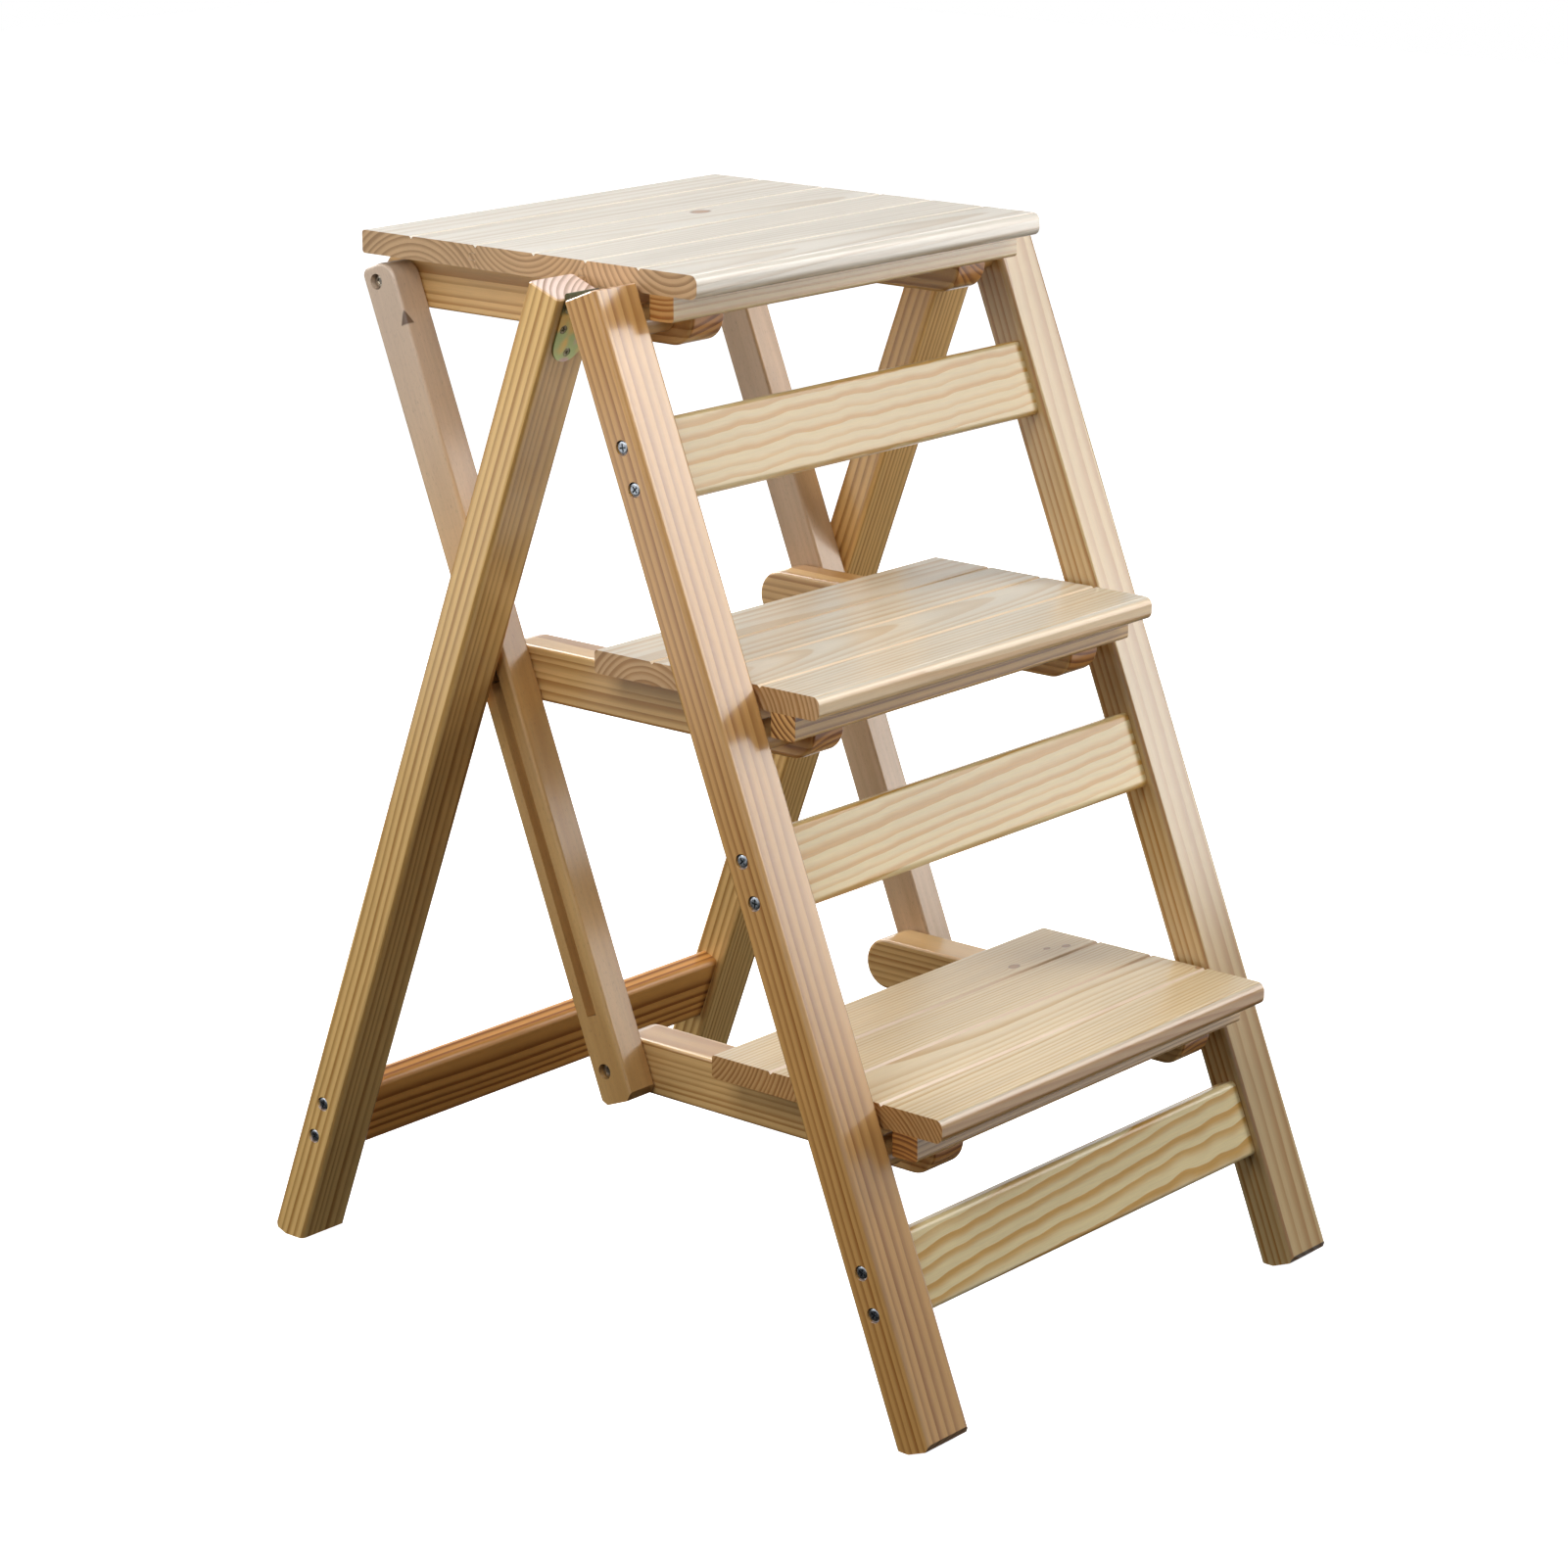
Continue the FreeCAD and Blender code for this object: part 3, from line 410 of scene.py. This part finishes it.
# Each piece of pine: where its pith lies from its centre, across and through in millimetres, how it
# drifts along the piece, and how far apart the rings are
PINE_PIECES = {
    "front_leg_left": dict(FRONT_LEG, pith=(40, 58), ring=3.4, seed=1, **AMBER),
    "front_leg_right": dict(FRONT_LEG, pith=(-34, 66), ring=4.4, seed=2, **SAND),
    "rear_leg_left": dict(REAR_LEG, pith=(45, -62), ring=3.9, seed=3),
    "rear_leg_right": dict(REAR_LEG, pith=(52, -48), ring=3.3, seed=4),
    "front_rail_upper": dict(FRONT_RAIL, pith=(60, 44), ring=5.4, seed=5, drift=(0.03, 0), **GOLD),
    "front_rail_middle": dict(FRONT_RAIL, pith=(44, 32), ring=5.2, seed=6, drift=(0.05, 0), **BRIGHT_GOLD),
    "front_rail_lower": dict(FRONT_RAIL, pith=(-46, 34), ring=7.0, seed=7, drift=(0.08, 0.02), **PALE_GOLD),
    "rear_rail": dict(REAR_RAIL, pith=(26, -36), ring=5.0, seed=8, **UMBER),
    "top_board_front": dict(TOP_BOARD, pith=(-22, 34), ring=4.4, seed=9, drift=(0.02, 0.03)),
    "top_board_middle": dict(TOP_BOARD, pith=(3, 38), ring=3.4, seed=10, drift=(0, 0.03)),
    "top_board_rear": dict(TOP_BOARD, pith=(4, -44), ring=4.0, seed=11),
    "middle_board_front": dict(MIDDLE_BOARD, pith=(30, -30), ring=3.4, seed=12, drift=(0, -0.05)),
    "middle_board_rear": dict(MIDDLE_BOARD, pith=(0, -34), ring=4.2, seed=13),
    "bottom_board_front": dict(BOTTOM_BOARD, pith=(46, -56), ring=2.7, seed=14, drift=(0.05, 0.02)),
    "bottom_board_rear": dict(BOTTOM_BOARD, pith=(70, 30), ring=3.0, seed=15),
    "top_batten": dict(BOARD, pith=(4, 60), ring=3.1, seed=16, **CREAM),
    "middle_batten": dict(BOARD, pith=(-30, 32), ring=3.8, seed=17, **DARK_HONEY),
    "bottom_batten": dict(BOARD, pith=(6, -52), ring=3.0, seed=18, contrast=1.4, **HONEY),
    "top_bearer_left": dict(BEARER, pith=(-24, 90), ring=6.0, seed=19),
    "middle_bearer_left": dict(BEARER, pith=(12, -62), ring=5.0, seed=20),
    "bottom_bearer_left": dict(BEARER, pith=(0, 84), ring=4.2, seed=21),
    "top_bearer_right": dict(BEARER, pith=(30, 40), ring=4.4, seed=22),
    "middle_bearer_right": dict(BEARER, pith=(8, 76), ring=4.6, seed=23),
    "bottom_bearer_right": dict(BEARER, pith=(10, -80), ring=4.4, seed=24),
}
# What only some pieces have: wavy rings, a plainer lacquer, bold end grain
SPECIAL = {
    "front_leg_right": dict(contrast=1.25, coat_ior=1.5),
    "front_rail_upper": dict(wave=3.6),
    "front_rail_middle": dict(wave=1.4),
    "front_rail_lower": dict(wave=3.6),
    "middle_batten": dict(contrast=1.3, end_tone_and_sheen=(1.05, 0.95, 0.85), end_rings=1.3),
}
# Knots, in millimetres from the piece's centre along and across, and their radius
KNOTS = {
    "top_board_middle": [(27, 30, 4.5)],
    "bottom_board_rear": [(84.6, 8, 2.6), (138, 8, 2.0), (126, 14, 1.6)],
    "bottom_board_front": [(158, 3, 2.2)],
}


def dress_timber():
    for name, cut in PINE_PIECES.items():
        paint(name, pine(name, knots=KNOTS.get(name, ()), **{**cut, **SPECIAL.get(name, {})}))
    paint("link_bar_left", beech("link_bar_left", FRONT_TURN, UPRIGHT, 25, high=SHEEN_PINK_BEECH,
                                 mark=corner_knot, **GOLDEN_BEECH))
    paint("link_bar_right", beech("link_bar_right", FRONT_TURN, UPRIGHT, 26, **ROSE_BEECH))
    paint("pivot_sleeves", beech("pivot_sleeves", 0, CROSSWISE, 27, **GOLDEN_BEECH))


def paint(name, finish):
    """Gives a piece of the model its finish and keeps its shape."""
    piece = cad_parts[name]
    if not piece.material_slots:
        piece.data.materials.append(None)
    for place in piece.material_slots:
        place.material = finish


# Metal

# Tones of plated metal, where it is dull and where it is clean
BRIGHT_ZINC = dict(dull=(0.50, 0.56, 0.63), clean=(0.66, 0.70, 0.74))
WARM_ZINC = dict(dull=(0.46, 0.41, 0.34), clean=(0.58, 0.53, 0.45))
DARK_ZINC = dict(dull=(0.20, 0.20, 0.16), clean=(0.36, 0.36, 0.28))
# Painted shade for the recess of a screw's head
RECESS_PAINTED_SHADE = (0.075, 0.085, 0.080)
# The thin film on yellow zinc, and painted shade on the hinges' barrels above a height
GOLD_FILM = (0.78, 0.59, 0.26)
GREEN_FILM = (0.45, 0.58, 0.34)
LILAC_FILM = (0.58, 0.46, 0.48)
STRAW_FILM = (0.70, 0.66, 0.40)
BARREL_PAINTED_SHADE = (0.10, 0.075, 0.04)
BARREL_HEIGHT = 0.616


def zinc(name, dull, clean, turned=False, recess_shade=0.8):
    """Zinc plate; on turned pieces painted shade darkens the recess of the head."""
    made, net = material(name)
    if turned:
        where = net.add("ShaderNodeAttribute", {"attribute_name": "spot"}, out="Vector")
    else:
        where = net.add("ShaderNodeTexCoord", out="Object")
    cloud = net.noise(where * 900, 2.0)
    scuff = net.noise(where * (6000, 1500, 1500), 2.0) - 0.5
    colour = net.mix(net.smooth(cloud, 0.3, 0.7), dull, clean)
    if turned:
        into, right, up = net.parts(where)
        recess = net.smooth(into, 0.15 * MM, 0.7 * MM)
        recess = recess * net.smooth(net.length(right, up), 3.1 * MM, 2.4 * MM)
        # Painted shade in the recess of the head
        colour = net.mix(recess * recess_shade, colour, RECESS_PAINTED_SHADE)
    surface(net, colour, 0.30 + scuff * 0.25, bumps(net, scuff, 0.02 * MM, 0.4), metallic=1.0)
    return made


def yellow_zinc(name):
    """Yellow passivated zinc with a green and lilac bloom, and painted shade that darkens and dulls the
    barrel at the top.
    """
    made, net = material(name)
    where = net.add("ShaderNodeTexCoord", out="Object")
    bloom = net.noise(where * 55 + (0.4, 0.9, 0.2), 1.5)
    grit = net.noise(where * 3000, 2.0) - 0.5
    colour = net.mix(net.smooth(bloom, 0.32, 0.46), GOLD_FILM, GREEN_FILM)
    colour = net.mix(net.smooth(bloom, 0.5, 0.6), colour, LILAC_FILM)
    colour = net.mix(net.smooth(bloom, 0.64, 0.74), colour, STRAW_FILM)
    # Painted shade: the barrel above this height is darkened and made rougher
    barrel_shade = net.smooth(net.parts(where)[2], BARREL_HEIGHT - 3 * MM, BARREL_HEIGHT + 3 * MM)
    colour = net.mix(barrel_shade * 0.85, colour, BARREL_PAINTED_SHADE)
    surface(net, colour, 0.40 + grit * 0.2 + barrel_shade * 0.3, bumps(net, grit, 0.01 * MM, 0.3), metallic=1.0)
    return made


# Screws and bolts

# Sizes of a fastener's inputs: radii, heights and lengths in metres
FRAME_SCREW = {"Head Radius": 4.2 * MM, "Head Height": 2.4 * MM, "Shank Radius": 1.8 * MM,
               "Length": 62 * MM, "Thread Pitch": 2.6 * MM, "Thread Height": 0.5 * MM,
               "Drive Length": 4.8 * MM, "Drive Width": 1.0 * MM, "Drive Depth": 1.4 * MM}
BOARD_SCREW = dict(FRAME_SCREW, Length=36 * MM)
HINGE_SCREW = {"Head Radius": 2.8 * MM, "Head Height": 0.9 * MM, "Shank Radius": 1.3 * MM,
               "Length": 8 * MM, "Thread Pitch": 1.2 * MM, "Thread Height": 0.2 * MM,
               "Drive Length": 3.0 * MM, "Drive Width": 0.75 * MM, "Drive Depth": 0.6 * MM}
LINK_BOLT = {"Head Radius": 4.5 * MM, "Head Height": 3 * MM, "Shank Radius": 2.9 * MM,
             "Length": 42 * MM, "Thread Pitch": 1.0 * MM, "Thread Height": 0.1 * MM,
             "Drive Length": 4.4 * MM, "Drive Width": 1.0 * MM, "Drive Depth": 0.6 * MM}
FASTENER_SIDES = 32
SHANK_RINGS = 60
HEAD_RINGS = 9


def turned_solid(net, start, end, rings, radius):
    """A solid of revolution about X, from a formula for its radius."""
    line = net.add("GeometryNodeCurvePrimitiveLine", {},
                   {"Start": net.vector(start, 0.0, 0.0), "End": net.vector(end, 0.0, 0.0)})
    line = net.add("GeometryNodeResampleCurve", {}, {"Curve": line, "Count": rings})
    ring = net.add("GeometryNodeCurvePrimitiveCircle", {}, {"Resolution": FASTENER_SIDES, "Radius": 1.0})
    return net.add("GeometryNodeCurveToMesh", {},
                   {"Curve": line, "Profile Curve": ring, "Scale": radius, "Fill Caps": True})


def cut_from(net, solid, tool):
    return net.add("GeometryNodeMeshBoolean", {"operation": "DIFFERENCE", "solver": "MANIFOLD"},
                   {"Mesh 1": solid, "Mesh 2": tool})


def fastener_tree():
    """Puts a turned screw or bolt, head outwards, on every point that comes in."""
    tree = bpy.data.node_groups.new("fastener", "GeometryNodeTree")
    kinds = {"Geometry": "NodeSocketGeometry", **dict.fromkeys(FRAME_SCREW, "NodeSocketFloat"),
             "Hex Socket": "NodeSocketBool", "Seed": "NodeSocketInt", "Finish": "NodeSocketMaterial"}
    for name, kind in kinds.items():
        tree.interface.new_socket(name, in_out="INPUT", socket_type=kind)
    tree.interface.new_socket("Geometry", in_out="OUTPUT", socket_type="NodeSocketGeometry")
    net = Net(tree)
    given = tree.nodes.new("NodeGroupInput")

    def size(name):
        return Wire(net, given.outputs[name])

    into = net.parts(net.add("GeometryNodeInputPosition"))[0]
    wave = abs(net.maths("FRACT", into / size("Thread Pitch")) - 0.5) * 2
    tip = net.smooth(into, size("Length") + 0.2 * MM, size("Length") - size("Shank Radius") * 2.5)
    shank = turned_solid(net, size("Head Height") * 0.6, size("Length"), SHANK_RINGS,
                         (size("Shank Radius") + wave * size("Thread Height")) * (0.1 + 0.9 * tip))
    rise = net.maths("MINIMUM", into / (size("Head Height") * 0.4), 1.0)
    rim = 0.74 + 0.26 * net.maths("SQRT", net.maths("MAXIMUM", rise * (2 - rise), 0.0))
    head = turned_solid(net, 0.0, size("Head Height"), HEAD_RINGS, size("Head Radius") * rim)
    whole = net.add("GeometryNodeMeshBoolean", {"operation": "UNION", "solver": "MANIFOLD"}, {"Mesh 2": head})
    tree.links.new(shank.socket, whole.socket.node.inputs["Mesh 2"])
    twice_deep = size("Drive Depth") * 2
    crossed = whole
    for wide, high in (("Drive Length", "Drive Width"), ("Drive Width", "Drive Length")):
        slot = net.add("GeometryNodeMeshCube", {}, {"Size": net.vector(twice_deep, size(wide), size(high))})
        crossed = cut_from(net, crossed, slot)
    hexagon = net.add("GeometryNodeMeshCylinder", {},
                      {"Vertices": 6, "Radius": size("Drive Length") / 2, "Depth": twice_deep})
    hexagon = net.add("GeometryNodeTransform", {}, {"Geometry": hexagon, "Rotation": (0, math.pi / 2, 0)})
    piece = net.add("GeometryNodeSwitch", {"input_type": "GEOMETRY"}, {
        "Switch": size("Hex Socket"), "False": crossed, "True": cut_from(net, whole, hexagon)})
    place = net.add("GeometryNodeInputPosition")
    piece = net.add("GeometryNodeStoreNamedAttribute", {"data_type": "FLOAT_VECTOR", "domain": "POINT"},
                    {"Geometry": piece, "Name": "spot", "Value": place})
    way = net.add("GeometryNodeInputNamedAttribute", {"data_type": "FLOAT_VECTOR"}, {"Name": "driven"})
    spin = net.add("FunctionNodeRandomValue", {"data_type": "FLOAT"},
                   {2: 0.0, 3: math.pi / 2, "Seed": size("Seed")}, out=1)
    spin = net.add("FunctionNodeAxisAngleToRotation", {}, {"Axis": (1, 0, 0), "Angle": spin})
    aim = net.add("FunctionNodeAlignRotationToVector", {"axis": "X"}, {"Rotation": spin, "Vector": way})
    placed = net.add("GeometryNodeInstanceOnPoints", {},
                     {"Points": size("Geometry"), "Instance": piece, "Rotation": aim})
    solid = net.add("GeometryNodeRealizeInstances", {}, {"Geometry": placed})
    solid = net.add("GeometryNodeSetMaterial", {}, {"Geometry": solid, "Material": size("Finish")})
    net.add("NodeGroupOutput", {}, {"Geometry": solid})
    return tree


def heads(node, driven):
    """The middle of each head's face in a group of fasteners that all point the same way."""
    merged = bmesh.new()
    merged.from_mesh(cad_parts[node].data)
    bmesh.ops.remove_doubles(merged, verts=merged.verts, dist=0.001 * MM)
    found = []
    left = set(merged.verts)
    while left:
        island = [left.pop()]
        for vertex in island:
            for edge in vertex.link_edges:
                other = edge.other_vert(vertex)
                if other in left:
                    left.remove(other)
                    island.append(other)
        found.append(face_middle([vertex.co.copy() for vertex in island], driven))
    merged.free()
    return sorted(found, key=lambda pair: tuple(round(number, 5) for number in pair[0]))


def face_middle(points, driven):
    """Where the head's face is, and the way the fastener is driven from there."""
    way = Vector(driven)
    if abs(way.x) > 0.5 and sum(point.x for point in points) > 0:
        way = -way
    turn = way.to_track_quat("X", "Z").to_matrix()
    own = [turn.transposed() @ point for point in points]
    low, high = ([pick(point[axis] for point in own) for axis in range(3)] for pick in (min, max))
    middle = Vector((low[0], (low[1] + high[1]) / 2, (low[2] + high[2]) / 2))
    return turn @ middle, way


def fasteners(name, tree, nodes, driven, sizes, body, finish, seed, hexagonal=False):
    """Makes a group of fasteners as one plain mesh in place of the nodes."""
    spots = [pair for node in nodes for pair in heads(node, driven)]
    seats = bpy.data.meshes.new(name)
    seats.from_pydata([place for place, way in spots], [], [])
    ways = seats.attributes.new("driven", "FLOAT_VECTOR", "POINT")
    ways.data.foreach_set("vector", [number for place, way in spots for number in way])
    thing = bpy.data.objects.new(name, seats)
    scene.collection.objects.link(thing)
    modifier = thing.modifiers.new("fasteners", "NODES")
    modifier.node_group = tree
    sockets = {item.name: item.identifier for item in tree.interface.items_tree if item.in_out == "INPUT"}
    for key, value in {**sizes, "Hex Socket": hexagonal, "Seed": seed, "Finish": finish}.items():
        modifier[sockets[key]] = value
    bpy.context.view_layer.update()
    mesh = bpy.data.meshes.new_from_object(thing.evaluated_get(bpy.context.evaluated_depsgraph_get()))
    thing.modifiers.clear()
    thing.data = mesh
    mesh.polygons.foreach_set("use_smooth", [True] * len(mesh.polygons))
    mesh.set_sharp_from_angle(angle=math.radians(35))
    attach(thing, body)
    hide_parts(*nodes)
    return thing


def dress_metal():
    bright = zinc("zinc_plate", **BRIGHT_ZINC)
    turned = zinc("zinc_fasteners", turned=True, **BRIGHT_ZINC)
    warm = zinc("zinc_bolts", turned=True, recess_shade=0.35, **WARM_ZINC)
    dark = zinc("zinc_hinge_screws", turned=True, **DARK_ZINC)
    hinge = yellow_zinc("yellow_zinc")
    for name in ("step_pivot_pins", "guide_studs"):
        paint(name, bright)
    leaves = [f"hinge_leaf_{leg}_{side}" for leg in ("front", "rear") for side in ("left", "right")]
    for name in ("hinge_pins", *leaves):
        paint(name, hinge)
    tree = fastener_tree()
    sideways = (1, 0, 0)
    upwards = (0, 0, 1)
    front = math.radians(FRONT_TURN)
    rear = math.radians(REAR_TURN)
    into_front = (0, -math.cos(front), -math.sin(front))
    into_rear = (0, math.cos(rear), math.sin(rear))
    fasteners("front_rail_fixings", tree, ["front_frame_screws"], sideways, FRAME_SCREW,
              "front_frame", turned, 1)
    fasteners("rear_rail_fixings", tree, ["rear_frame_screws"], sideways, FRAME_SCREW,
              "rear_frame", turned, 2)
    fasteners("front_hinge_fixings", tree, ["hinge_screws_front"], into_front, HINGE_SCREW,
              "front_frame", dark, 3)
    fasteners("rear_hinge_fixings", tree, ["hinge_screws_rear"], into_rear, HINGE_SCREW,
              "rear_frame", dark, 4)
    for seed, level in enumerate(LEVELS, start=5):
        fasteners(f"{level}_board_fixings", tree, [f"{level}_step_screws"], upwards, BOARD_SCREW,
                  f"{level}_step", turned, seed)
    fasteners("link_bar_bolts", tree, [f"{level}_link_bolts" for level in LEVELS], sideways, LINK_BOLT,
              "link_bars", warm, 8, hexagonal=True)


# Floor, light and camera

FLOOR_HALF = 6.0
# The camera's place and aim were solved from the stool's own straight lines in a square frame
PHOTO_SIDE = 1601
SENSOR = 36.0
FOCAL_PIXELS = 4400.8
AXIS_ROW = 600.0
CAMERA_PLACE = (-1.9391, -1.6437, 1.0284)
CAMERA_TARGET = (-0.0014655, 0.0098902, 0.4219757)

# Walls of light, each a stack of strips that face the middle of the stool from their own height:
# the way to the wall in degrees from +X, its distance, the strips' width, and each strip's height and glow
STRIP = 0.3
WALLS = {
    "front_wall": (-40, 1.5, 0.6, ((0.55, 4.6), (0.85, 4.1), (1.15, 4.8), (1.45, 5.8), (1.75, 5.8))),
    "left_wall": (139.5, 1.6, 1.4, ((0.15, 1.1), (0.75, 2.9))),
    "rear_wall": (40.5, 2.2, 1.8, ((0.5, 2.4), (0.8, 0.4), (1.5, 3.4))),
}
# Soft boxes aimed at the middle of the stool: place, side and glow
BOXES = {
    "above": ((0.0, 0.0, 1.7), 1.0, 2.4),
    "above_back": ((0.2, 1.3, 1.4), 0.7, 9.6),
    "above_front": ((0.1, -1.3, 1.4), 0.7, 1.4),
    "above_left": ((-1.1, -0.2, 1.3), 0.7, 5.0),
}
MIDDLE = (0, 0, 0.4)
# Pale patches of the room: the way to them from +X, their lowest and highest slope, and their glow
PATCH_FULL = math.radians(36)
PATCH_ENDS = math.radians(54)
PATCH_BLUR = 0.06
ROOM = ((270, 0.0, 0.3, 0.8), (180, 0.0, 0.3, 0.7), (0, -0.45, 0.0, 1.15), (90, 0.3, 0.65, 2.0))


def floor():
    mesh = bpy.data.meshes.new("floor")
    corners = [(-1, -1), (1, -1), (1, 1), (-1, 1)]
    mesh.from_pydata([(x * FLOOR_HALF, y * FLOOR_HALF, 0) for x, y in corners], [], [(0, 1, 2, 3)])
    thing = bpy.data.objects.new("floor", mesh)
    scene.collection.objects.link(thing)
    made, net = material("pale_floor")
    cloud = net.noise(net.add("ShaderNodeTexCoord", out="Object") * 3, 2.0)
    shader = net.add("ShaderNodeBsdfPrincipled", {}, {
        "Base Color": net.mix(cloud, (0.90, 0.90, 0.90), (0.93, 0.93, 0.93)), "Roughness": 0.9,
        "Specular IOR Level": 0.0, "Emission Color": (1, 1, 1), "Emission Strength": 1.0})
    net.add("ShaderNodeOutputMaterial", {}, {"Surface": shader})
    mesh.materials.append(made)
    thing.visible_diffuse = False
    thing.visible_glossy = False


def aimed(thing, place, target):
    thing.location = place
    thing.rotation_mode = "QUATERNION"
    thing.rotation_quaternion = (Vector(target) - Vector(place)).to_track_quat("-Z", "Y")
    scene.collection.objects.link(thing)


def soft_light(name, place, target, wide, high, glow):
    """A rectangular soft box that looks as bright as the glow says."""
    data = bpy.data.lights.new(name, "AREA")
    data.shape = "RECTANGLE"
    data.size = wide
    data.size_y = high
    data.energy = glow * math.pi * wide * high
    thing = bpy.data.objects.new(name, data)
    thing.visible_camera = False
    aimed(thing, place, target)


def room():
    """White to the camera; to the stool, a dark room with pale patches."""
    world = bpy.data.worlds.new("room")
    scene.world = world
    world.use_nodes = True
    net = Net(world.node_tree)
    x, y, z = net.parts(net.add("ShaderNodeTexCoord", out="Generated"))
    bearing = net.maths("ARCTAN2", y, x)
    light = 0.0
    for way, low, high, glow in ROOM:
        off = abs(net.maths("WRAP", bearing - math.radians(way), math.pi, -math.pi))
        patch = net.smooth(off, PATCH_ENDS, PATCH_FULL)
        patch = patch * net.smooth(z, low - PATCH_BLUR, low + PATCH_BLUR)
        patch = patch * net.smooth(z, high + PATCH_BLUR, high - PATCH_BLUR)
        light = light + patch * glow
    seen = net.add("ShaderNodeLightPath", out="Is Camera Ray")
    shown = light * (1 - seen) + seen
    net.add("ShaderNodeOutputWorld", {}, {
        "Surface": net.add("ShaderNodeBackground", {}, {"Color": (1, 1, 1), "Strength": shown})})


def studio():
    scene.view_settings.view_transform = "Standard"
    for name, (way, far, wide, strips) in WALLS.items():
        x = far * math.cos(math.radians(way))
        y = far * math.sin(math.radians(way))
        for number, (height, glow) in enumerate(strips):
            soft_light(f"{name}_{number}", (x, y, height), (0, 0, height), wide, STRIP, glow)
    for name, (place, side, glow) in BOXES.items():
        soft_light(name, place, MIDDLE, side, side, glow)


def camera():
    data = bpy.data.cameras.new("camera")
    data.sensor_width = SENSOR
    data.lens = SENSOR * FOCAL_PIXELS / PHOTO_SIDE
    data.shift_y = (AXIS_ROW - PHOTO_SIDE / 2) / PHOTO_SIDE
    data.clip_end = 50
    thing = bpy.data.objects.new("camera", data)
    aimed(thing, CAMERA_PLACE, CAMERA_TARGET)
    scene.camera = thing


dress_timber()
dress_metal()
floor()
room()
studio()
camera()
